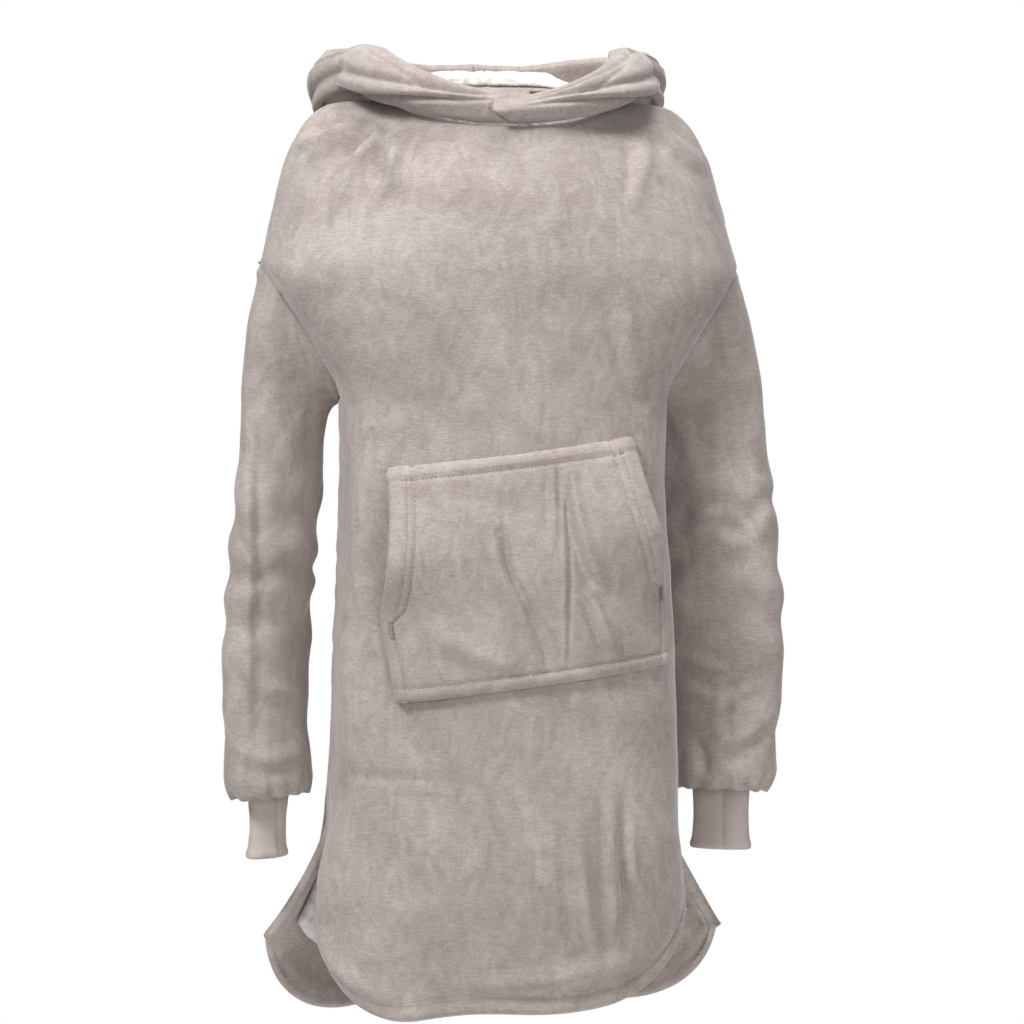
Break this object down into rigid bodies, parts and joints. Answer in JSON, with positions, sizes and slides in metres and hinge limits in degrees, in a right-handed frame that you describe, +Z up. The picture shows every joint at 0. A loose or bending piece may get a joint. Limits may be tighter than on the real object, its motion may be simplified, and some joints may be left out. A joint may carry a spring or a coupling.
{
  "type": "hooded blanket robe",
  "caption": "Oversized pull-over hooded robe in pile-lined flannel fleece, with dropped sleeves, knit cuffs, a kangaroo pocket and a side-slit hem.",
  "frame": {"origin": "middle of the neck on the shoulder line, where the shoulders of the wearer or of a form hold the robe up", "axes": "+Z up, the front faces -Y, and +X is to the right of someone who looks at the front"},
  "size_m": [0.5551, 0.3293, 0.973],
  "materials": {
    "flannel": "brushed flannel fleece, matt with a soft sheen",
    "pile": "long curly sherpa pile",
    "knit": "smooth fine-gauge knit",
    "tape": "herringbone twill tape",
    "label": "satin ribbon",
    "thread": "polyester sewing thread"
  },
  "bodies": {
    "robe_body": {"front_panel": "flannel", "back_panel": "flannel", "front_lining": "pile", "back_lining": "pile", "kangaroo_pocket": "flannel", "left_pocket_tack": "thread", "right_pocket_tack": "thread", "neck_tape": "tape", "hanger_loop": "tape", "size_label": "label", "care_label": "label"},
    "left_arm": {"left_sleeve": "flannel", "left_sleeve_lining": "pile", "left_cuff": "knit"},
    "right_arm": {"right_sleeve": "flannel", "right_sleeve_lining": "pile", "right_cuff": "knit"},
    "hood": {"left_hood_panel": "flannel", "left_hood_lining": "pile", "right_hood_panel": "flannel", "right_hood_lining": "pile"}
  },
  "joints": [
    {"name": "left_sleeve_swing", "type": "hinge", "parent": "robe_body", "child": "left_arm", "pos_m": [-0.216, -0.008, -0.152], "axis": [0, 1, 0], "range_deg": [0, 45]},
    {"name": "right_sleeve_swing", "type": "hinge", "parent": "robe_body", "child": "right_arm", "pos_m": [0.216, -0.008, -0.152], "axis": [0, -1, 0], "range_deg": [0, 45]},
    {"name": "hood_lift", "type": "hinge", "parent": "robe_body", "child": "hood", "pos_m": [0, -0.118, -0.038], "axis": [1, 0, 0], "range_deg": [0, 15]}
  ]
}
